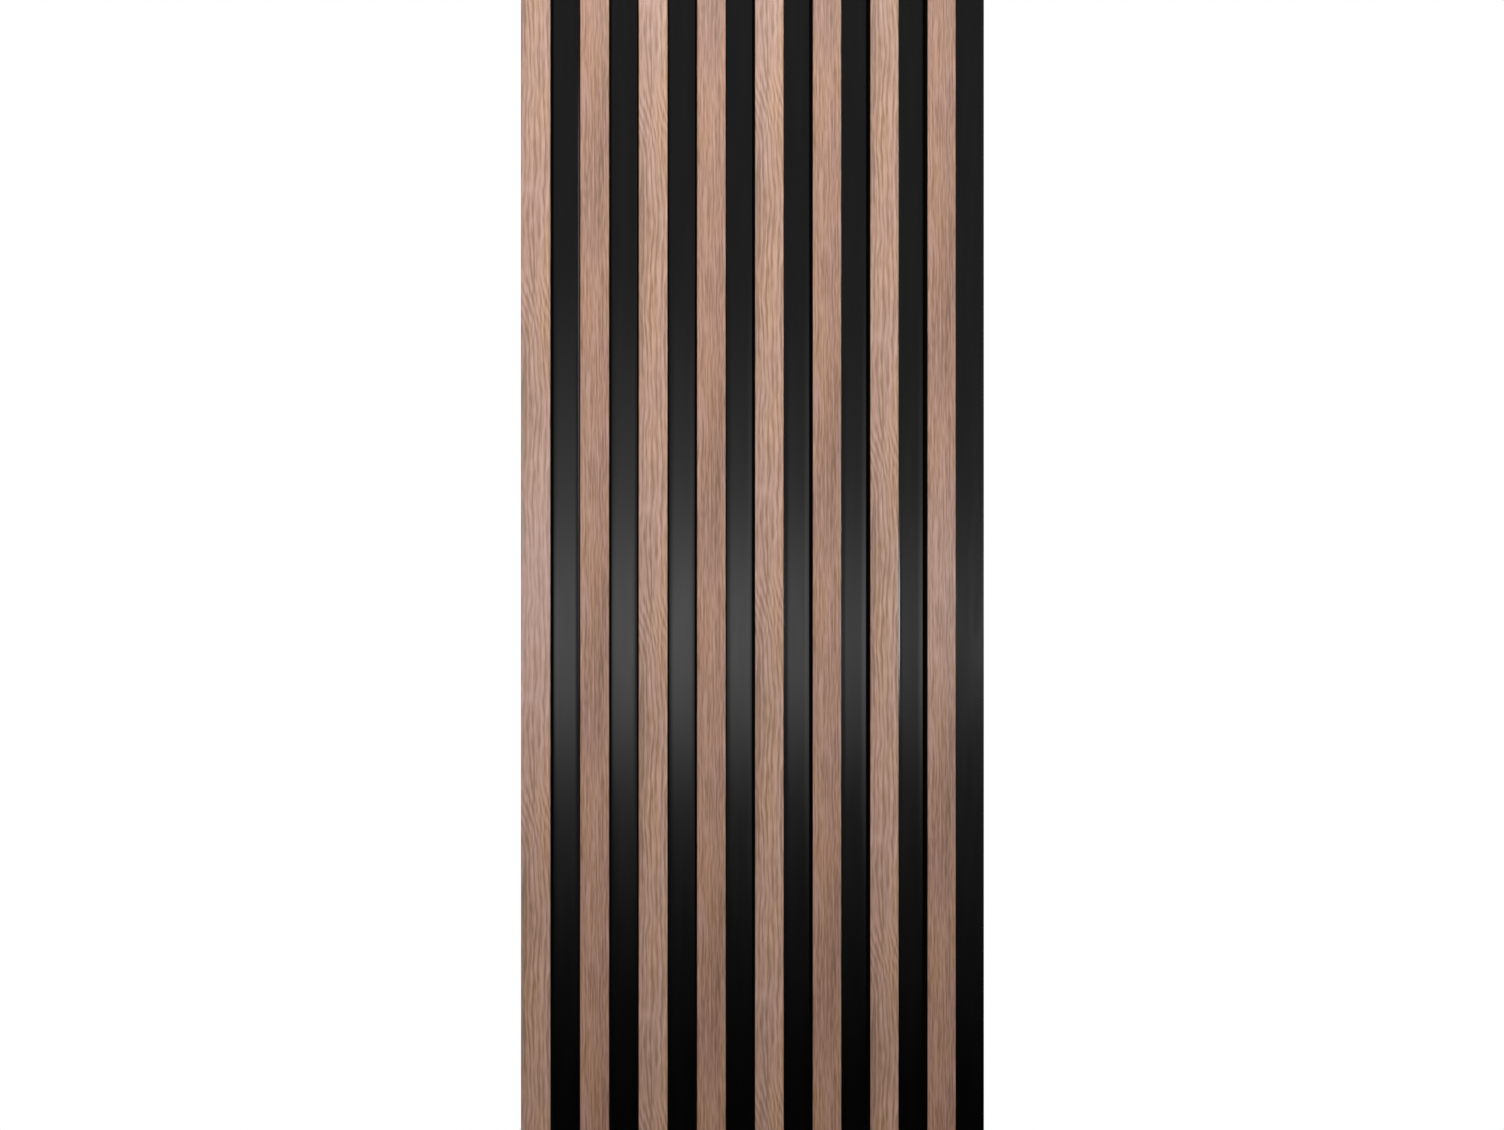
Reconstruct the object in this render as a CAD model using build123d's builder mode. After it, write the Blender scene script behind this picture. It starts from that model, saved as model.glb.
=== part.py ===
from build123d import *
import os

# A slat wall panel: a thin black board that carries a row of upright black slats, each with
# a strip of wood-look film over its front.
# X runs across the panel, Z up the wall, and the front faces -Y.
# The origin is the centre of the board's back face, which lies against the wall at Y = 0.
# Lengths are in millimetres.

# Driving dimensions
panel_length = 1200.0       # height on the wall
slat_count = 8
slat_foot_width = 21.0      # where a slat stands on the board
slat_front_width = 18.2     # across the front, narrower than the foot, so the sides slope
slat_depth = 11.8           # how far a slat stands off the board, without its film
slat_arris_radius = 0.8     # rounding of the two long front edges of a slat
channel_width = 16.5        # open floor between the foot of one slat and the next
film_thickness = 0.2
film_wrap = 0.6             # how far the film is pressed back round each arris
board_thickness = 4.0
board_edge_radius = 0.5     # rounding of the free long edge, beside the last channel
seam_cover = 3.5            # how far the first slat overhangs the board's left edge

# One slat and one channel make a pitch. Boards butt edge to edge on the wall, and the first
# slat of one panel reaches over the seam, so that the pitch runs on from panel to panel.
slat_pitch = slat_foot_width + channel_width
board_width = slat_count * slat_pitch
first_slat_left = -board_width / 2 - seam_cover

# Depths, from the wall to the front
board_front = -board_thickness
slat_front = board_front - slat_depth
film_front = slat_front - film_thickness

# Every piece has the same section from end to end, drawn at the bottom end and run up.
bottom_end = Plane.XY.offset(-panel_length / 2)


def slat_centre(number):
    """X of the middle of a slat, numbered from 1 at the left."""
    return first_slat_left + slat_foot_width / 2 + (number - 1) * slat_pitch


def draw_slat_section(number):
    """A slat's outline on the board's front: sloping sides and two rounded front arrises."""
    middle = slat_centre(number)
    half_foot = slat_foot_width / 2
    half_front = slat_front_width / 2
    with BuildSketch(bottom_end) as section:
        with BuildLine():
            Polyline(
                (middle - half_foot, board_front),
                (middle - half_front, slat_front),
                (middle + half_front, slat_front),
                (middle + half_foot, board_front),
                close=True,
            )
        make_face()
        front_corners = section.vertices().group_by(Axis.Y)[0]
        fillet(front_corners, slat_arris_radius)
    return section


def make_slat(number):
    """A black slat that stands on the board's front face."""
    section = draw_slat_section(number)
    with BuildPart() as slat:
        extrude(section.sketch, amount=panel_length)
    slat.part.label = f"slat_{number}"
    return slat


def make_film(number):
    """The wood-look film that lies over a slat's front and is pressed round both arrises.

    Its section is the slat's outline grown by the film's thickness, less the slat itself,
    kept from the film's front back to where the wrap ends.
    """
    slat_section = draw_slat_section(number)
    with BuildSketch(bottom_end) as film_section:
        offset(slat_section.sketch_local, amount=film_thickness)
        add(slat_section.sketch_local, mode=Mode.SUBTRACT)
        with Locations((slat_centre(number), film_front)):
            Rectangle(
                slat_foot_width,
                film_thickness + film_wrap,
                align=(Align.CENTER, Align.MIN),
                mode=Mode.INTERSECT,
            )
    with BuildPart() as film:
        extrude(film_section.sketch, amount=panel_length)
    film.part.label = f"face_film_{number}"
    return film


# The board lies flat on the wall. Its right long edge is the one that shows, past the last
# channel, because the first slat reaches over the left one.
with BuildPart() as backing_board:
    with BuildSketch(bottom_end):
        Rectangle(board_width, board_thickness, align=(Align.CENTER, Align.MAX))
    extrude(amount=panel_length)
    front_long_edges = backing_board.edges().filter_by(Axis.Z).group_by(Axis.Y)[0]
    fillet(front_long_edges.sort_by(Axis.X)[-1], board_edge_radius)
backing_board.part.label = "backing_board"

os.makedirs("parts", exist_ok=True)
export_step(backing_board.part, "parts/backing_board.step")

for slat_number in range(1, slat_count + 1):
    slat = make_slat(slat_number)
    export_step(slat.part, f"parts/{slat.part.label}.step")
    film = make_film(slat_number)
    export_step(film.part, f"parts/{film.part.label}.step")
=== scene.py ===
# %% [markdown]
# # A slat wall panel, dressed
# The object is one decorative wall panel: a thin black board that carries eight upright black slats, and
# on the front of each slat a strip of printed wood-look film, pressed round the slat's two long arrises.
# The shapes come finished from the CAD frame, and no mesh is added to them. What this script adds is what
# makes such a panel look real: the printed grain, the satin of the film, the smooth black of the board,
# and the light.

# %% Load the frame
import math

import bpy
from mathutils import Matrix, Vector


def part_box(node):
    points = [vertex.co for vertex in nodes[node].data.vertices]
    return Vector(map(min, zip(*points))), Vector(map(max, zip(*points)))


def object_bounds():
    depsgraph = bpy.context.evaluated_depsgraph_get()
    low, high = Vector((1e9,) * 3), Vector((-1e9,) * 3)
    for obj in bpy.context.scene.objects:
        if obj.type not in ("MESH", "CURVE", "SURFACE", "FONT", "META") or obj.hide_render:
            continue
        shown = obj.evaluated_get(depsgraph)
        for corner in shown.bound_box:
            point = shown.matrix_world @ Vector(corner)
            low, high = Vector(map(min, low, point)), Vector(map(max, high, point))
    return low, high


MM_PER_M = 1000.0

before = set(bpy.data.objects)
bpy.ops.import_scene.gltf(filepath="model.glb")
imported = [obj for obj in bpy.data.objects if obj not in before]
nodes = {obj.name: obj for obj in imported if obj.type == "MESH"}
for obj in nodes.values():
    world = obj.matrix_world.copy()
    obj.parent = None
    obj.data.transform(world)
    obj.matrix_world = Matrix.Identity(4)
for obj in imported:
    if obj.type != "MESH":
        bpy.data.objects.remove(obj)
cad_low, cad_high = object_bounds()
print("CAD box, lowest and highest corner in metres:", tuple(cad_low), tuple(cad_high))

# %% [markdown]
# ## Measures of the panel
# Eight slats stand at an even pitch, so the print of each one can be placed from its own centre line.
# The measures could be typed in, but then a change of the CAD model would leave them behind. So centre
# lines and widths are read from the boxes of the pieces in the frame.

# %% Find the slats and their centre lines
SLAT_COUNT = sum(1 for name in nodes if name.startswith("slat_"))


def film_centre_mm(number):
    low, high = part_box(f"face_film_{number}")
    return (low.x + high.x) / 2 * MM_PER_M


def width_mm(name):
    low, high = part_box(name)
    return (high.x - low.x) * MM_PER_M


FILM_HALF_MM = width_mm("face_film_1") / 2
print("slats:", SLAT_COUNT, "film width in mm:", round(2 * FILM_HALF_MM, 2))
print("film centre lines in mm:", [round(film_centre_mm(n + 1), 2) for n in range(SLAT_COUNT)])

# %% [markdown]
# ## Camera
# The photo was taken square on to the panel from just left of its middle, a little under a metre away.
# The strips of side wall that show in the channels fix the distance, and the way the left and the right
# half differ in scale fixes the turn of 3.5 degrees. A shifted lens could bring the panel to the middle
# of the picture too, but it would leave both halves at one scale. So the camera turns, and the shift
# stays at zero.

# %% Camera
SENSOR_WIDTH_MM = 36.0
LENS_MM = 35.26
CAMERA_PLACE = Vector((-0.0618, -0.966, 0.0))
CAMERA_TURN_DEG = -3.465

camera_data = bpy.data.cameras.new("photo_camera")
camera_data.sensor_width = SENSOR_WIDTH_MM
camera_data.lens = LENS_MM
camera = bpy.data.objects.new("photo_camera", camera_data)
bpy.context.scene.collection.objects.link(camera)
camera.location = CAMERA_PLACE
camera.rotation_euler = (math.radians(90), 0, math.radians(CAMERA_TURN_DEG))
bpy.context.scene.camera = camera
bpy.context.scene.view_settings.view_transform = "Standard"
print("camera in metres:", tuple(CAMERA_PLACE), "lens in mm:", LENS_MM)

# %% [markdown]
# ## Three small helpers
# Paint charts and photo editors give colours as hex values in sRGB, while shaders add up light and want
# linear numbers, so one function turns the first into the second. Another adds a shader node, sets what
# it is told to set and links what it is given, which keeps every recipe below short enough to read. The
# third starts a material with an empty node tree. A socket is called by its name, or by its number where
# a node has several sockets of one name: the Mix node takes plain numbers at 2 and 3 and colours at 6
# and 7, and its mixed colour comes out of 2.

# %% Helpers for colours and nodes
def linear(hex_colour):
    parts = [int(hex_colour[i:i + 2], 16) / 255 for i in (1, 3, 5)]
    return tuple(p / 12.92 if p <= 0.04045 else ((p + 0.055) / 1.055) ** 2.4 for p in parts) + (1.0,)


def add(tree, kind, inputs=None, **settings):
    node = tree.nodes.new(kind)
    for name, value in settings.items():
        setattr(node, name, value)
    for socket, value in (inputs or {}).items():
        if isinstance(value, bpy.types.NodeSocket):
            tree.links.new(value, node.inputs[socket])
        else:
            node.inputs[socket].default_value = value
    return node


def new_material(name):
    material = bpy.data.materials.new(name)
    material.use_nodes = True
    material.node_tree.nodes.clear()
    return material, material.node_tree


WHITE = linear("#ffffff")
print("half grey #808080 in linear numbers:", round(linear("#808080")[0], 3))

# %% [markdown]
# ## Soft glows
# The smooth black channels of the panel work like tall narrow mirrors of the studio in front. What they
# show in the photo is one bright soft oval a little below the level of the lens, inside a wider and
# weaker one to its left, and both end softly on the left. A lamp of that shape would have a crisp rim,
# so both are drawn into the world instead. The place of a glow is a direction: how far it lies to the
# right and how far up, as parts of a unit step. The distance from its middle, measured in its own half
# width and half height, runs from 0 to 1 at the rim, and a smooth step over it makes the soft edge.

# %% Glows
GLOWS = (
    {"middle": (0.026, 0.0, -0.051), "half": (0.255, 1.0, 0.115), "strength": 1.25},
    {"middle": (-0.133, 0.0, -0.014), "half": (0.424, 1.0, 0.24), "strength": 0.8},
)
GLOW_LEFT_EDGE = (-0.2, -0.11)


def soft_glow(tree, towards, middle, half, strength):
    along_axes = (1 / half[0], 0.0, 1 / half[2])
    start = (-middle[0] / half[0], 0.0, -middle[2] / half[2])
    place = add(tree, "ShaderNodeVectorMath", {0: towards, 1: along_axes, 2: start},
                operation="MULTIPLY_ADD")
    away = add(tree, "ShaderNodeVectorMath", {0: place.outputs[0]}, operation="LENGTH")
    return add(tree, "ShaderNodeMapRange", {
        "Value": away.outputs["Value"], "From Min": 1.0, "From Max": 0.0, "To Max": strength},
        interpolation_type="SMOOTHSTEP").outputs[0]


for glow in GLOWS:
    print("glow of strength", glow["strength"], "towards", glow["middle"])

# %% [markdown]
# ## The studio around the panel
# A product like this is shot against a white sweep. If the white wrapped all the way round, its
# reflection would lift the black channels to dark grey, and they are nearly black in the photo. So
# the camera always sees white, and a surface sees white only behind the panel. In front of it the
# studio is dim and darkest near the ground, with the two glows in it. The world isn't sampled as a lamp,
# because nearly all that it does here is done in reflections, and those find it by themselves.

# %% World
STUDIO_DIM = 0.28
DIM_FROM_HEIGHT = -0.38
DIM_FULL_HEIGHT = 0.0
WHITE_FULL_BEHIND = 0.5

world = bpy.data.worlds.new("studio")
bpy.context.scene.world = world
world.use_nodes = True
world.cycles.sampling_method = "NONE"
sky = world.node_tree
sky.nodes.clear()
towards = add(sky, "ShaderNodeTexCoord").outputs["Generated"]
axes = add(sky, "ShaderNodeSeparateXYZ", {0: towards})
light = add(sky, "ShaderNodeMapRange", {
    "Value": axes.outputs["Z"], "From Min": DIM_FROM_HEIGHT, "From Max": DIM_FULL_HEIGHT,
    "To Max": STUDIO_DIM}, interpolation_type="SMOOTHSTEP").outputs[0]
left_edge = add(sky, "ShaderNodeMapRange", {
    "Value": axes.outputs["X"], "From Min": GLOW_LEFT_EDGE[0], "From Max": GLOW_LEFT_EDGE[1]},
    interpolation_type="SMOOTHSTEP").outputs[0]
for glow in GLOWS:
    light = add(sky, "ShaderNodeMath", {
        0: soft_glow(sky, towards, **glow), 1: left_edge, 2: light}, operation="MULTIPLY_ADD").outputs[0]
behind = add(sky, "ShaderNodeMapRange", {
    "Value": axes.outputs["Y"], "From Min": 0.0, "From Max": WHITE_FULL_BEHIND},
    interpolation_type="SMOOTHSTEP")
ray = add(sky, "ShaderNodeLightPath")
white_share = add(sky, "ShaderNodeMath", {
    0: ray.outputs["Is Camera Ray"], 1: behind.outputs[0]}, operation="MAXIMUM")
dim_front = add(sky, "ShaderNodeBackground", {"Color": WHITE, "Strength": light})
white = add(sky, "ShaderNodeBackground", {"Color": WHITE, "Strength": 1.0})
studio = add(sky, "ShaderNodeMixShader", {
    0: white_share.outputs[0], 1: dim_front.outputs[0], 2: white.outputs[0]})
add(sky, "ShaderNodeOutputWorld", {"Surface": studio.outputs[0]})
print("studio: white behind and to the eye, dim in front:", STUDIO_DIM, "with", len(GLOWS), "soft glows")

# %% [markdown]
# ## Floor
# The floor lies under the panel's lower end. A plain white plane would show its horizon, so only near
# the panel is it a real pale surface that takes a soft shadow, and further out it fades to plain white.
# It looks dark grey to every ray but the camera's, so that it throws little light up at the panel.

# %% Floor
FLOOR_SIZE_M = 1.6
SHADOW_REACH_M = 0.25
WHITE_FROM_M = 0.6
WHITE_SHARE_NEAR = 0.3

bpy.ops.mesh.primitive_plane_add(size=FLOOR_SIZE_M, location=(0, 0, cad_low.z))
floor = bpy.context.object
floor.name = "floor"
paper, tree = new_material("pale paper floor")
place = add(tree, "ShaderNodeTexCoord")
reach = add(tree, "ShaderNodeVectorMath", {0: place.outputs["Object"]}, operation="LENGTH")
far = add(tree, "ShaderNodeMapRange", {
    "Value": reach.outputs["Value"], "From Min": SHADOW_REACH_M, "From Max": WHITE_FROM_M,
    "To Min": WHITE_SHARE_NEAR}, interpolation_type="SMOOTHSTEP")
near_paper = add(tree, "ShaderNodeBsdfDiffuse", {"Color": linear("#f4f4f3")})
plain_white = add(tree, "ShaderNodeEmission", {"Color": WHITE, "Strength": 1.0})
to_eye = add(tree, "ShaderNodeMixShader", {
    0: far.outputs[0], 1: near_paper.outputs[0], 2: plain_white.outputs[0]})
dim_paper = add(tree, "ShaderNodeBsdfDiffuse", {"Color": linear("#202020")})
ray = add(tree, "ShaderNodeLightPath")
paper_look = add(tree, "ShaderNodeMixShader", {
    0: ray.outputs["Is Camera Ray"], 1: dim_paper.outputs[0], 2: to_eye.outputs[0]})
add(tree, "ShaderNodeOutputMaterial", {"Surface": paper_look.outputs[0]})
floor.data.materials.append(paper)
print("floor at z =", round(cad_low.z, 3), "m")

# %% [markdown]
# ## A soft lamp
# A softbox is given here by the brightness of its face, not by its watts, so that a reflection of it is
# easy to foresee: smooth black lacquer sends back four percent of it. The power follows from brightness
# and area. A grid in front narrows the cone of light, and Blender makes the face of such a lamp brighter
# to keep its power, so the power is divided by that gain.

# %% Softbox
HALF_SPACE_DEG = 180.0


def softbox(name, place, aim, width, height, brightness, spread_deg=HALF_SPACE_DEG):
    data = bpy.data.lights.new(name, "AREA")
    data.shape = "RECTANGLE"
    data.size = width
    data.size_y = height
    data.spread = math.radians(spread_deg)
    half = data.spread / 2
    if spread_deg >= HALF_SPACE_DEG:
        grid_gain = 1.0
    else:
        grid_gain = math.tan(half) / (math.tan(half) - half)
    data.energy = brightness * width * height * math.pi / grid_gain
    lamp = bpy.data.objects.new(name, data)
    bpy.context.scene.collection.objects.link(lamp)
    lamp.location = place
    lamp.rotation_euler = (aim - place).to_track_quat("-Z", "Y").to_euler()
    lamp.visible_camera = False
    print(name, "face brightness", brightness, "power in watts", round(data.energy, 2))


# %% [markdown]
# ## Lamps
# Five lamps. Two tall ones stand so far to the sides that the channels miss them, while the satin film
# still catches a pale veil from them. Two small bright ones hang beside those at the level of the lens
# and make that veil strongest at mid height. The rim of the right one just shows as a thin line where a
# channel's floor turns up. The fifth hangs high, reaches only the upper part of the panel and makes it
# lighter than the lower. One big lamp could light the film as well, but the channels would mirror it.

# %% Lamps
LAMP_AIM = Vector((0.0, cad_low.y, 0.0))
LAMP_DISTANCE_M = 1.75
SIDE_LAMPS = {
    "tall_left": {"azimuth_deg": -25.0, "above": 0.3, "width": 0.3, "height": 1.0, "brightness": 3.0},
    "tall_right": {"azimuth_deg": 30.0, "above": 0.42, "width": 0.3, "height": 1.0, "brightness": 2.6},
    "level_left": {"azimuth_deg": -28.0, "above": -0.02, "width": 0.24, "height": 0.2, "brightness": 23.0},
    "level_right": {"azimuth_deg": 25.0, "above": -0.09, "width": 0.24, "height": 0.2, "brightness": 21.0},
}
HIGH_PLACE = Vector((0.05, -1.05, 1.5))
HIGH_AIM = Vector((-0.04, 0.0, 0.225))
HIGH_SIDE_M = 0.5
HIGH_BRIGHTNESS = 70.0
HIGH_SPREAD_DEG = 40.0

for name, lamp in SIDE_LAMPS.items():
    turn = math.radians(lamp["azimuth_deg"])
    place = Vector((LAMP_DISTANCE_M * math.sin(turn), -LAMP_DISTANCE_M * math.cos(turn), lamp["above"]))
    softbox(name, place, LAMP_AIM, lamp["width"], lamp["height"], lamp["brightness"])
softbox("high", HIGH_PLACE, HIGH_AIM, HIGH_SIDE_M, HIGH_SIDE_M, HIGH_BRIGHTNESS, HIGH_SPREAD_DEG)

# %% [markdown]
# ## Where the print lies
# The face of each slat is a paper-thin decor film: a photo print of a light brown wood under a clear
# satin coat, rolled on hot and pressed round the arrises. The print cylinder is about 104 mm thick, so
# the same 326 mm of grain comes back again and again. An image of wood could be laid on here, but it
# would fix the size, so the grain is worked out from noise. To make it repeat without a seam, the
# length of the slat is wrapped on a ring of that girth before it is fed to the noise. Neighbouring
# slats were cut from two lanes of the film, and each pair of slats was cut at its own place along it.

# %% Place of the print
PRINT_REPEAT_MM = 326.0
RING_MM = PRINT_REPEAT_MM / (2 * math.pi)
PAIR_SHIFT_MM = (0.0, 121.0, 133.0, -93.0)


def place_in_mm(tree):
    place = add(tree, "ShaderNodeTexCoord")
    in_mm = add(tree, "ShaderNodeVectorMath", {0: place.outputs["Object"], "Scale": MM_PER_M},
                operation="SCALE").outputs[0]
    return in_mm, add(tree, "ShaderNodeSeparateXYZ", {0: in_mm})


def print_place(tree, centre_mm, shift_mm):
    in_mm, axes = place_in_mm(tree)
    across = add(tree, "ShaderNodeMath", {0: axes.outputs["X"], 1: centre_mm}, operation="SUBTRACT")
    along = add(tree, "ShaderNodeMath", {0: axes.outputs["Z"], 1: shift_mm}, operation="SUBTRACT")
    turn = add(tree, "ShaderNodeMath", {0: along.outputs[0], 1: 1 / RING_MM}, operation="MULTIPLY")
    cosine = add(tree, "ShaderNodeMath", {0: turn.outputs[0]}, operation="COSINE")
    sine = add(tree, "ShaderNodeMath", {0: turn.outputs[0]}, operation="SINE")
    ring = add(tree, "ShaderNodeCombineXYZ", {1: cosine.outputs[0], 2: sine.outputs[0]})
    ring_mm = add(tree, "ShaderNodeVectorMath", {0: ring.outputs[0], "Scale": RING_MM}, operation="SCALE")
    return across.outputs[0], along.outputs[0], ring_mm.outputs[0]


print("the print repeats every", PRINT_REPEAT_MM, "mm, on a ring of radius", round(RING_MM, 1), "mm")

# %% [markdown]
# ## Grain of a given size
# Wood grain is noise that is much longer than it is wide. So each pattern of the print is asked for by
# its width and length in millimetres, and the distance across the slat is stretched by their ratio.
# Every pattern has a number that sends it to its own far place in the noise, so no two look alike, and
# the two lanes of the film add 1 or 2 to it.

# %% Grain
GRAIN_ROUGHNESS = 0.6
PATTERNS_APART = 40
PATTERN = {
    "sway": 0, "bands": 2, "lines": 4, "pores": 8, "tone": 10, "ring_wander": 30, "ring_strength": 50,
}


def grain(tree, across, ring, size_mm, detail, pattern):
    width, length = size_mm
    wide = add(tree, "ShaderNodeCombineXYZ", {0: across})
    stretched = add(tree, "ShaderNodeVectorMath", {
        0: wide.outputs[0], 1: (length / width, 0, 0), 2: (pattern * PATTERNS_APART * length, 0, 0)},
        operation="MULTIPLY_ADD")
    point = add(tree, "ShaderNodeVectorMath", {0: stretched.outputs[0], 1: ring}, operation="ADD")
    return add(tree, "ShaderNodeTexNoise", {
        "Vector": point.outputs[0], "Scale": 1 / length, "Detail": detail,
        "Roughness": GRAIN_ROUGHNESS}).outputs[0]


print("patterns of the print:", ", ".join(PATTERN))

# %% [markdown]
# ## Soft areas of the print
# A wood print has slow changes under its lines: darker areas as long as a finger. Noise could make
# them, but not where they are wanted. So each is an ellipse with a soft edge, given by its middle and
# its half sizes in millimetres and by how dark it is. Distance is measured on the ring, so an area that
# crosses the seam of the print closes up.

# %% Soft areas
CLOUDS_MM = {
    "a": (
        {"middle": -9.0, "height": 105.0, "half_width": 7.0, "half_length": 75.0, "depth": 0.26},
        {"middle": 1.0, "height": 98.0, "half_width": 12.0, "half_length": 32.0, "depth": 0.12},
        {"middle": -9.0, "height": 26.0, "half_width": 5.0, "half_length": 30.0, "depth": 0.14},
    ),
    "b": (
        {"middle": 5.0, "height": -80.0, "half_width": 8.0, "half_length": 85.0, "depth": 0.19},
        {"middle": -1.0, "height": 104.0, "half_width": 6.0, "half_length": 30.0, "depth": 0.1},
    ),
}


def soft_area(tree, across, ring, middle, height, half_width, half_length, depth):
    stretch = half_length / half_width
    wide = add(tree, "ShaderNodeCombineXYZ", {0: across})
    point = add(tree, "ShaderNodeVectorMath", {0: wide.outputs[0], 1: (stretch, 0, 0), 2: ring},
                operation="MULTIPLY_ADD")
    turn = height / RING_MM
    heart = (middle * stretch, RING_MM * math.cos(turn), RING_MM * math.sin(turn))
    away = add(tree, "ShaderNodeVectorMath", {0: point.outputs[0], 1: heart}, operation="DISTANCE")
    return add(tree, "ShaderNodeMapRange", {
        "Value": away.outputs["Value"], "From Min": half_length, "From Max": 0.0, "To Max": depth},
        interpolation_type="SMOOTHSTEP").outputs[0]


print("soft areas on each lane:", {lane: len(clouds) for lane, clouds in CLOUDS_MM.items()})

# %% [markdown]
# ## Ring lines and arches
# Growth rings cut lengthwise give lines a few millimetres apart. Where the saw went through the top of a
# ring they close into narrow arches, which carpenters call cathedral grain. The distance from the heart
# line of the board tells which ring a point is on. To make arches, that distance is shifted by whole
# rings over a short length, so above and below the arches the lines run on straight and the print still
# closes on itself. Distorted rings of noise could give arches too, but they wouldn't close. On lane a
# the heart line lies near the slat's left edge, so only the right halves of the arches show, as lines
# that sweep down to the right. Close to the heart line the distance is rounded off, so an arch has a
# round top and not a point.

# %% Ring lines
RINGS = {
    "a": {"apart": 3.0, "heart": -7.0, "arch_height": 163.0, "arches": 4, "arch_length": 60.0},
    "b": {"apart": 2.2, "heart": -2.0, "arch_height": 186.0, "arches": 1, "arch_length": 40.0},
}
HEART_ROUNDING_MM = 1.0
WANDER_SIZE_MM = (3.0, 30.0)
WANDER_MM = 3.5
STRENGTH_SIZE_MM = (4.0, 25.0)


def total(tree, start, parts):
    value = start
    for part, weight in parts:
        value = add(tree, "ShaderNodeMath", {0: part, 1: weight, 2: value},
                    operation="MULTIPLY_ADD").outputs[0]
    return value


def ring_lines(tree, across, along, ring, lane, apart, heart, arch_height, arches, arch_length):
    from_arch = add(tree, "ShaderNodeMath", {0: along, 1: arch_height}, operation="SUBTRACT")
    wrapped = add(tree, "ShaderNodeMath", {
        0: from_arch.outputs[0], 1: PRINT_REPEAT_MM / 2, 2: -PRINT_REPEAT_MM / 2}, operation="WRAP")
    shift = add(tree, "ShaderNodeMapRange", {
        "Value": wrapped.outputs[0], "From Min": -arch_length / 2, "From Max": arch_length / 2,
        "To Min": 0.0, "To Max": arches * apart}, interpolation_type="SMOOTHSTEP").outputs[0]
    aside = add(tree, "ShaderNodeMath", {0: across, 1: heart}, operation="SUBTRACT").outputs[0]
    square = add(tree, "ShaderNodeMath", {0: aside, 1: aside, 2: HEART_ROUNDING_MM ** 2},
                 operation="MULTIPLY_ADD")
    from_heart = add(tree, "ShaderNodeMath", {0: square.outputs[0]}, operation="SQRT").outputs[0]
    wander = grain(tree, across, ring, WANDER_SIZE_MM, 1.0, lane + PATTERN["ring_wander"])
    place = total(tree, from_heart, [(shift, 1.0), (wander, WANDER_MM)])
    phase = add(tree, "ShaderNodeMath", {0: place, 1: 2 * math.pi / apart}, operation="MULTIPLY")
    wave = add(tree, "ShaderNodeMath", {0: phase.outputs[0]}, operation="SINE")
    strength = grain(tree, across, ring, STRENGTH_SIZE_MM, 0.0, lane + PATTERN["ring_strength"])
    return add(tree, "ShaderNodeMath", {0: wave.outputs[0], 1: strength}, operation="MULTIPLY").outputs[0]


for lane_name, rings in RINGS.items():
    print("lane", lane_name, "has rings", rings["apart"], "mm apart and", rings["arches"], "arches")

# %% [markdown]
# ## The drawing of the wood
# The drawing adds up ring lines, fine lines, short pores and wide bands, all stretched along the slat.
# Lines, pores and rings sway together, more on lane a than on lane b, and lane a grows a little lighter
# to the right. Each pattern has its own share in the sum, so one can be made stronger without touching
# the rest. Real pores are a fifth of a millimetre wide and would vanish in the render, so pores and
# fine lines are drawn about a millimetre wide.

# %% Drawing
DRAWING = {
    "a": {"rings": 0.53, "bands": 0.4, "lines": 1.2, "pores": 0.9, "to_the_right": 0.007},
    "b": {"rings": 0.35, "bands": 0.65, "lines": 1.45, "pores": 1.05, "to_the_right": 0.0},
}
LINE_SIZE_MM = {"a": (1.2, 42.0), "b": (1.0, 42.0)}
PORE_SIZE_MM = (0.8, 9.0)
BAND_SIZE_MM = (4.0, 110.0)
SWAY_SIZE_MM = (22.0, 60.0)
SWAY_MM = {"a": 6.0, "b": 3.0}


def wood_drawing(tree, across, along, ring, lane_name, lane):
    share = DRAWING[lane_name]
    sway = grain(tree, across, ring, SWAY_SIZE_MM, 1.0, lane + PATTERN["sway"])
    swayed = total(tree, across, [(sway, SWAY_MM[lane_name])])
    rings = ring_lines(tree, swayed, along, ring, lane, **RINGS[lane_name])
    bands = grain(tree, across, ring, BAND_SIZE_MM, 0.0, lane + PATTERN["bands"])
    lines = grain(tree, swayed, ring, LINE_SIZE_MM[lane_name], 1.0, lane + PATTERN["lines"])
    pores = grain(tree, swayed, ring, PORE_SIZE_MM, 0.0, lane + PATTERN["pores"])
    middle = 0.5 - 0.5 * (share["bands"] + share["lines"] + share["pores"])
    return total(tree, middle, [
        (rings, share["rings"]), (bands, share["bands"]), (lines, share["lines"]),
        (pores, share["pores"]), (across, share["to_the_right"])])


for lane_name, sway in SWAY_MM.items():
    print("lane", lane_name, "lines are", LINE_SIZE_MM[lane_name][0], "mm wide and sway by", sway, "mm")

# %% [markdown]
# ## Colours of the print
# Two lanes of the same print alternate from slat to slat: lane a is paler and tan, lane b darker and
# redder. The drawing is looked up in a scale of dark, middle and light, and the dark is also the browner
# one, because real wood isn't one colour made darker and lighter. Slow changes lead from a warm scale to
# a cool one, and on lane a the left side is the cooler.

# %% Film colours
FILM_COLOURS = {
    "a": {"warm": ("#89664b", "#a48067", "#b7937e"), "cool": ("#856450", "#a07e6d", "#b39285")},
    "b": {"warm": ("#815d43", "#9b755d", "#ac8672"), "cool": ("#7d5b48", "#977363", "#a88478")},
}
COOL_SHARE = {"a": {"all_over": 0.15, "to_the_right": -0.04}, "b": {"all_over": 0.0, "to_the_right": 0.0}}
TONE_SIZE_MM = (9.0, 70.0)
TONE_RANGE = (0.35, 0.65)


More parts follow.
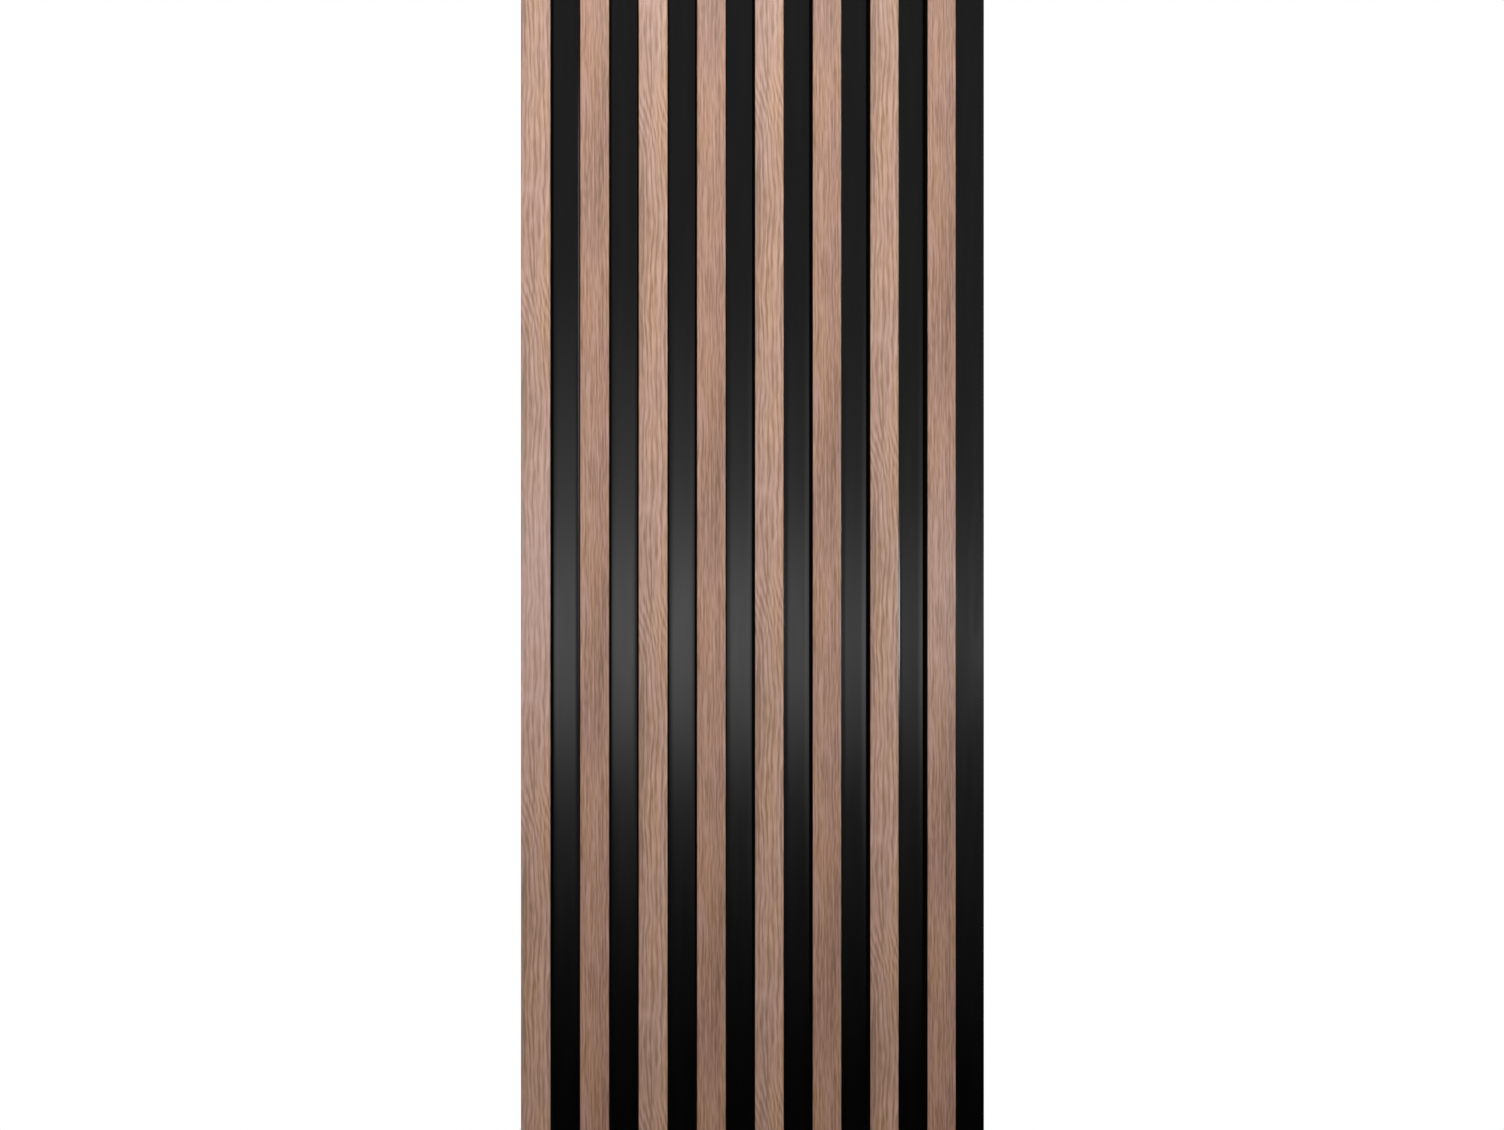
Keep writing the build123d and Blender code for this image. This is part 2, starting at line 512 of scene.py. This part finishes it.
def wood_scale(tree, drawing, colours):
    node = add(tree, "ShaderNodeValToRGB", {0: drawing})
    stops = node.color_ramp.elements
    stops.new(0.5)
    for stop, colour in zip(stops, colours):
        stop.color = linear(colour)
    return node.outputs[0]


def wood_colour(tree, across, ring, lane_name, lane, drawing):
    tone = grain(tree, across, ring, TONE_SIZE_MM, 1.0, lane + PATTERN["tone"])
    evened = add(tree, "ShaderNodeMapRange", {
        "Value": tone, "From Min": TONE_RANGE[0], "From Max": TONE_RANGE[1]}).outputs[0]
    share = COOL_SHARE[lane_name]
    cool = total(tree, share["all_over"], [(evened, 1.0), (across, share["to_the_right"])])
    scales = {name: wood_scale(tree, drawing, FILM_COLOURS[lane_name][name]) for name in ("warm", "cool")}
    return add(tree, "ShaderNodeMix", {0: cool, 6: scales["warm"], 7: scales["cool"]},
               data_type="RGBA").outputs[2]


for lane_name, scales in FILM_COLOURS.items():
    print("lane", lane_name, "runs from", scales["warm"][0], "to", scales["warm"][2])

# %% [markdown]
# ## A painted mauve sheen on two slats
# In the photo the first and the last slat look mauver at mid height, where their lacquer sends back a
# lamp at the side. A lamp could do that here as well, but none was found that leaves the channels
# dark. So on these two slats that reflection is painted into the print's colour as a mauve sheen, with its
# lines kept.

# %% Painted sheen patches
# Colours and places of a painted reflection: the sheen of a side lamp drawn into the print as mauve.
PAINTED_SHEEN_COLOURS = ("#957764", "#a8887b", "#b6978d")
PAINTED_SHEEN_PATCHES_MM = {
    1: {"height": 0.0, "half_length": 160.0, "most": 1.0},
    SLAT_COUNT: {"height": -20.0, "half_length": 120.0, "most": 0.43},
}


def painted_sheen_share(tree, height, half_length, most):
    place = add(tree, "ShaderNodeTexCoord")
    away = add(tree, "ShaderNodeVectorMath", {
        0: place.outputs["Object"], 1: (0, 0, MM_PER_M / half_length), 2: (0, 0, -height / half_length)},
        operation="MULTIPLY_ADD")
    reach = add(tree, "ShaderNodeVectorMath", {0: away.outputs[0]}, operation="LENGTH")
    return add(tree, "ShaderNodeMapRange", {
        "Value": reach.outputs["Value"], "From Min": 1.0, "From Max": 0.0, "To Max": most},
        interpolation_type="SMOOTHSTEP").outputs[0]


print("slats with a mauve patch:", list(PAINTED_SHEEN_PATCHES_MM))

# %% [markdown]
# ## The film
# Printed PVC decor film, embossed and lacquered satin. To the eye that is a soft wood drawing under a
# thin even sheen, with no gap in it at the arrises because the film runs round them. Its colour is
# made darker over the last third of a millimetre towards each arris. The emboss follows the
# drawing and is three hundredths of a millimetre deep. It could be cut into the mesh, but it only
# breaks up the sheen, so it is bump. The lacquer is a little smoother on the light wood than on the dark.

# %% Film
CLOUD_SHADE = "#2a1a14"
EDGE_FROM_MM = FILM_HALF_MM - 0.3
EDGE_FULL_MM = FILM_HALF_MM - 0.1
EDGE_DEPTH = 0.8
EMBOSS_M = 0.00003
ROUGH_ON_DARK = 0.42
ROUGH_ON_LIGHT = 0.32
FILM_SHEEN = 0.6
LACQUER_IOR = 1.5


def film_colour(tree, across, ring, lane_name, lane, number, drawing):
    colour = wood_colour(tree, across, ring, lane_name, lane, drawing)
    # Painted reflection: on the first and last slat the print is mixed towards a mauve sheen at mid height.
    if number in PAINTED_SHEEN_PATCHES_MM:
        share = painted_sheen_share(tree, **PAINTED_SHEEN_PATCHES_MM[number])
        mauve = wood_scale(tree, drawing, PAINTED_SHEEN_COLOURS)
        colour = add(tree, "ShaderNodeMix", {0: share, 6: colour, 7: mauve}, data_type="RGBA").outputs[2]
    # The colour is made darker over the last third of a millimetre towards each arris.
    aside = add(tree, "ShaderNodeMath", {0: across}, operation="ABSOLUTE")
    edge = add(tree, "ShaderNodeMapRange", {
        "Value": aside.outputs[0], "From Min": EDGE_FROM_MM, "From Max": EDGE_FULL_MM,
        "To Max": EDGE_DEPTH}).outputs[0]
    clouds = [(soft_area(tree, across, ring, **cloud), 1.0) for cloud in CLOUDS_MM[lane_name]]
    shade = total(tree, edge, clouds)
    return add(tree, "ShaderNodeMix", {0: shade, 6: colour, 7: linear(CLOUD_SHADE)},
               data_type="RGBA").outputs[2]


def printed_film(name, number, lane_name, centre_mm, shift_mm):
    lane = 1 + "ab".index(lane_name)
    material, tree = new_material(name)
    across, along, ring = print_place(tree, centre_mm, shift_mm)
    drawing = wood_drawing(tree, across, along, ring, lane_name, lane)
    colour = film_colour(tree, across, ring, lane_name, lane, number, drawing)
    satin = add(tree, "ShaderNodeMapRange", {
        "Value": drawing, "To Min": ROUGH_ON_DARK, "To Max": ROUGH_ON_LIGHT})
    emboss = add(tree, "ShaderNodeBump", {"Height": drawing, "Distance": EMBOSS_M, "Strength": 1.0})
    film = add(tree, "ShaderNodeBsdfPrincipled", {
        "Base Color": colour, "Roughness": satin.outputs[0], "IOR": LACQUER_IOR,
        "Specular IOR Level": FILM_SHEEN, "Normal": emboss.outputs[0]})
    add(tree, "ShaderNodeOutputMaterial", {"Surface": film.outputs[0]})
    return material


for n in range(SLAT_COUNT):
    lane_name = "ab"[n % 2]
    pair = n // 2
    film = printed_film(f"printed satin film {lane_name} {pair + 1}", n + 1, lane_name,
                        film_centre_mm(n + 1), PAIR_SHIFT_MM[pair])
    nodes[f"face_film_{n + 1}"].data.materials[0] = film
print("film materials made:", SLAT_COUNT)
print("the film darkens over its last", round(FILM_HALF_MM - EDGE_FROM_MM, 2), "mm at each arris")

# %% [markdown]
# ## Rise at the feet of the slats
# The board's face isn't flat to the last hair. Its black lacquer was poured on round the slats and
# climbed a little at the foot of each, as any liquid does at a wall. That rise is a fifth of a
# millimetre high, far too low to see as shape, and shows only because a mirror doubles every tilt. So
# it is bump and not mesh, but worked out from the real height: a curve that is flat in the middle of a
# channel and rounds up over the last millimetres. It fades out past the last slat, where no second slat
# holds it up.

# %% Rise
RISE_WIDTH_MM = 3.5
RISE_ROUNDING_MM = 30.0
PITCH_MM = film_centre_mm(2) - film_centre_mm(1)
FLAT_HALF_MM = (PITCH_MM - width_mm("slat_1")) / 2 - RISE_WIDTH_MM
LAST_CHANNEL_MM = film_centre_mm(SLAT_COUNT) + PITCH_MM / 2
UNEVEN_SIZE_MM = (12.0, 500.0)
UNEVEN_SHARE = (0.75, 1.05)
SHARE_AT_FREE_EDGE = 0.1
NOISE_LOW = 0.3
NOISE_HIGH = 0.7


def board_noise(tree, place, size_mm, detail):
    width, length = size_mm
    scaled = add(tree, "ShaderNodeVectorMath", {0: place, 1: (1 / width, 1 / width, 1 / length)},
                 operation="MULTIPLY")
    return add(tree, "ShaderNodeTexNoise", {
        "Vector": scaled.outputs[0], "Scale": 1.0, "Detail": detail}).outputs[0]


def from_channel_middle(tree, axes):
    inside = add(tree, "ShaderNodeMath", {0: axes.outputs["X"], 1: LAST_CHANNEL_MM}, operation="MINIMUM")
    from_last = add(tree, "ShaderNodeMath", {0: inside.outputs[0], 1: LAST_CHANNEL_MM},
                    operation="SUBTRACT")
    wrapped = add(tree, "ShaderNodeMath", {
        0: from_last.outputs[0], 1: PITCH_MM / 2, 2: -PITCH_MM / 2}, operation="WRAP")
    return add(tree, "ShaderNodeMath", {0: wrapped.outputs[0]}, operation="ABSOLUTE").outputs[0]


def rise_at_feet(tree, place, axes):
    aside = from_channel_middle(tree, axes)
    past_flat = add(tree, "ShaderNodeMath", {0: aside, 1: FLAT_HALF_MM}, operation="SUBTRACT")
    on_rise = add(tree, "ShaderNodeMath", {0: past_flat.outputs[0], 1: 0.0}, operation="MAXIMUM").outputs[0]
    square = add(tree, "ShaderNodeMath", {0: on_rise, 1: on_rise}, operation="MULTIPLY")
    full = add(tree, "ShaderNodeMath", {0: square.outputs[0], 1: 0.5 / RISE_ROUNDING_MM},
               operation="MULTIPLY").outputs[0]
    uneven = add(tree, "ShaderNodeMapRange", {
        "Value": board_noise(tree, place, UNEVEN_SIZE_MM, 0.0), "From Min": NOISE_LOW,
        "From Max": NOISE_HIGH, "To Min": UNEVEN_SHARE[0], "To Max": UNEVEN_SHARE[1]}).outputs[0]
    fading = add(tree, "ShaderNodeMapRange", {
        "Value": axes.outputs["X"], "From Min": LAST_CHANNEL_MM - PITCH_MM, "From Max": LAST_CHANNEL_MM,
        "To Min": 1.0, "To Max": SHARE_AT_FREE_EDGE}).outputs[0]
    share = add(tree, "ShaderNodeMath", {0: uneven, 1: fading}, operation="MULTIPLY").outputs[0]
    return add(tree, "ShaderNodeMath", {0: full, 1: share}, operation="MULTIPLY").outputs[0]


print("pitch", round(PITCH_MM, 2), "mm, flat half of a channel", round(FLAT_HALF_MM, 2), "mm")
print("the floor rises by", round(RISE_WIDTH_MM ** 2 / (2 * RISE_ROUNDING_MM), 2), "mm at a slat's foot")

# %% [markdown]
# ## A bead at one foot
# On the right of the slat before the last the photo has one thin pale line, and no other channel has it.
# There a little more lacquer has stayed at the slat's foot as a bead, steep enough to send back the
# right-hand lamp. It is added to the rise as a smooth step down from the slat.

# %% Bead
BEAD_SLAT = SLAT_COUNT - 1
BEAD_WIDTH_MM = 2.0
BEAD_HEIGHT_MM = 0.03


def bead_at_foot(tree, axes):
    foot = film_centre_mm(BEAD_SLAT) + width_mm(f"slat_{BEAD_SLAT}") / 2
    return add(tree, "ShaderNodeMapRange", {
        "Value": axes.outputs["X"], "From Min": foot, "From Max": foot + BEAD_WIDTH_MM,
        "To Min": BEAD_HEIGHT_MM, "To Max": 0.0}, interpolation_type="SMOOTHSTEP").outputs[0]


print("the bead lies at the right foot of slat", BEAD_SLAT, "and adds", BEAD_HEIGHT_MM, "mm")

# %% [markdown]
# ## The black board
# A thin hardboard, black through, under a poured black lacquer. To the eye that is a clear satin black
# that mirrors the studio softly, with faint flow lines along the panel. Patterns in so black a colour
# would hardly show, so the colour is nearly even, and what the eye sees comes from the height and the
# roughness. Only the face is lacquered. The back and the edges are bare board, so they are dull, and the
# sawn ends are a little greyer.

# %% Board
HALF_LENGTH_MM = cad_high.z * MM_PER_M
BOARD_FRONT_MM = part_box("backing_board")[0].y * MM_PER_M
LACQUER_FROM_MM = BOARD_FRONT_MM * 0.75
LACQUER_FULL_MM = BOARD_FRONT_MM * 0.9
WAVE_SIZE_MM = (14.0, 160.0)
WAVE_HEIGHT_MM = 0.02
FLOW_LINE_SIZE_MM = (0.7, 900.0)
FLOW_LINE_HEIGHT_MM = 0.0015
SMEAR_SIZE_MM = (5.0, 60.0)
SAWN_FROM_MM = HALF_LENGTH_MM - 0.2
SAWN_FULL_MM = HALF_LENGTH_MM - 0.05
LACQUER_ROUGHNESS = (0.1, 0.14)
BARE_ROUGHNESS = (0.5, 0.65)
BOARD_BLACKS = ("#020203", "#050505")
SAWN_BOARD_GREY = "#1b1b1c"


def sawn_end(tree, axes):
    from_middle = add(tree, "ShaderNodeMath", {0: axes.outputs["Z"]}, operation="ABSOLUTE")
    return add(tree, "ShaderNodeMapRange", {
        "Value": from_middle.outputs[0], "From Min": SAWN_FROM_MM, "From Max": SAWN_FULL_MM}).outputs[0]


def lacquered_hardboard():
    material, tree = new_material("poured black lacquer on hardboard, satin")
    place, axes = place_in_mm(tree)
    lacquered = add(tree, "ShaderNodeMapRange", {
        "Value": axes.outputs["Y"], "From Min": LACQUER_FROM_MM, "From Max": LACQUER_FULL_MM}).outputs[0]
    climbed = total(tree, rise_at_feet(tree, place, axes), [(bead_at_foot(tree, axes), 1.0)])
    rise = add(tree, "ShaderNodeMath", {0: climbed, 1: lacquered}, operation="MULTIPLY")
    waves = board_noise(tree, place, WAVE_SIZE_MM, 1.0)
    flow_lines = board_noise(tree, place, FLOW_LINE_SIZE_MM, 2.0)
    height_mm = total(tree, rise.outputs[0], [(waves, WAVE_HEIGHT_MM), (flow_lines, FLOW_LINE_HEIGHT_MM)])
    relief = add(tree, "ShaderNodeBump", {"Height": height_mm, "Distance": 1 / MM_PER_M, "Strength": 1.0})
    smears = board_noise(tree, place, SMEAR_SIZE_MM, 3.0)
    satin = add(tree, "ShaderNodeMapRange", {
        "Value": smears, "From Min": NOISE_LOW, "From Max": NOISE_HIGH,
        "To Min": LACQUER_ROUGHNESS[0], "To Max": LACQUER_ROUGHNESS[1]})
    dull = add(tree, "ShaderNodeMapRange", {
        "Value": smears, "To Min": BARE_ROUGHNESS[0], "To Max": BARE_ROUGHNESS[1]})
    shine = add(tree, "ShaderNodeMix", {0: lacquered, 2: dull.outputs[0], 3: satin.outputs[0]})
    black = add(tree, "ShaderNodeMix", {
        0: smears, 6: linear(BOARD_BLACKS[0]), 7: linear(BOARD_BLACKS[1])}, data_type="RGBA")
    cut = add(tree, "ShaderNodeMix", {
        0: sawn_end(tree, axes), 6: black.outputs[2], 7: linear(SAWN_BOARD_GREY)}, data_type="RGBA")
    board = add(tree, "ShaderNodeBsdfPrincipled", {
        "Base Color": cut.outputs[2], "Roughness": shine.outputs[0], "IOR": LACQUER_IOR,
        "Normal": relief.outputs[0]})
    add(tree, "ShaderNodeOutputMaterial", {"Surface": board.outputs[0]})
    return material


nodes["backing_board"].data.materials[0] = lacquered_hardboard()
print("board face at y =", round(BOARD_FRONT_MM, 2), "mm, panel half", round(HALF_LENGTH_MM, 1), "mm long")

# %% [markdown]
# ## The black slats
# What shows of a slat is its two sides and its sawn ends. The sides are MDF under a matt black coat:
# deep black without the mirror of the board, so they stay dark even beside the glow. The ends are sawn
# through and show the bare core, a dark brown grey. Sides and ends could be two materials, but one with
# a mask near the ends keeps the slat one piece with one slot. Real fibres are finer than a tenth of a
# millimetre and wouldn't show, so they are drawn a third of a millimetre wide under the coat and half a
# millimetre wide in the core.

# %% Slats
FIBRE_SIZE_MM = (0.35, 2.5)
FIBRE_HEIGHT_M = 0.00003
GRIT_SIZE_MM = (0.5, 0.5)
COAT_ROUGHNESS = (0.8, 0.95)
COAT_SHEEN = 0.05
COAT_BLACKS = ("#030303", "#060606")
CORE_BROWNS = ("#1d1916", "#3a332d")


def matt_black_mdf():
    material, tree = new_material("matt black coat on MDF")
    place, axes = place_in_mm(tree)
    fibre = board_noise(tree, place, FIBRE_SIZE_MM, 2.0)
    relief = add(tree, "ShaderNodeBump", {"Height": fibre, "Distance": FIBRE_HEIGHT_M, "Strength": 1.0})
    matt = add(tree, "ShaderNodeMapRange", {
        "Value": fibre, "To Min": COAT_ROUGHNESS[0], "To Max": COAT_ROUGHNESS[1]})
    coat = add(tree, "ShaderNodeMix", {
        0: fibre, 6: linear(COAT_BLACKS[0]), 7: linear(COAT_BLACKS[1])}, data_type="RGBA")
    grit = board_noise(tree, place, GRIT_SIZE_MM, 3.0)
    core = add(tree, "ShaderNodeMix", {
        0: grit, 6: linear(CORE_BROWNS[0]), 7: linear(CORE_BROWNS[1])}, data_type="RGBA")
    colour = add(tree, "ShaderNodeMix", {
        0: sawn_end(tree, axes), 6: coat.outputs[2], 7: core.outputs[2]}, data_type="RGBA")
    slat = add(tree, "ShaderNodeBsdfPrincipled", {
        "Base Color": colour.outputs[2], "Roughness": matt.outputs[0], "IOR": LACQUER_IOR,
        "Specular IOR Level": COAT_SHEEN, "Normal": relief.outputs[0]})
    add(tree, "ShaderNodeOutputMaterial", {"Surface": slat.outputs[0]})
    return material


slat_black = matt_black_mdf()
for n in range(SLAT_COUNT):
    nodes[f"slat_{n + 1}"].data.materials[0] = slat_black
print("slats coated:", SLAT_COUNT)
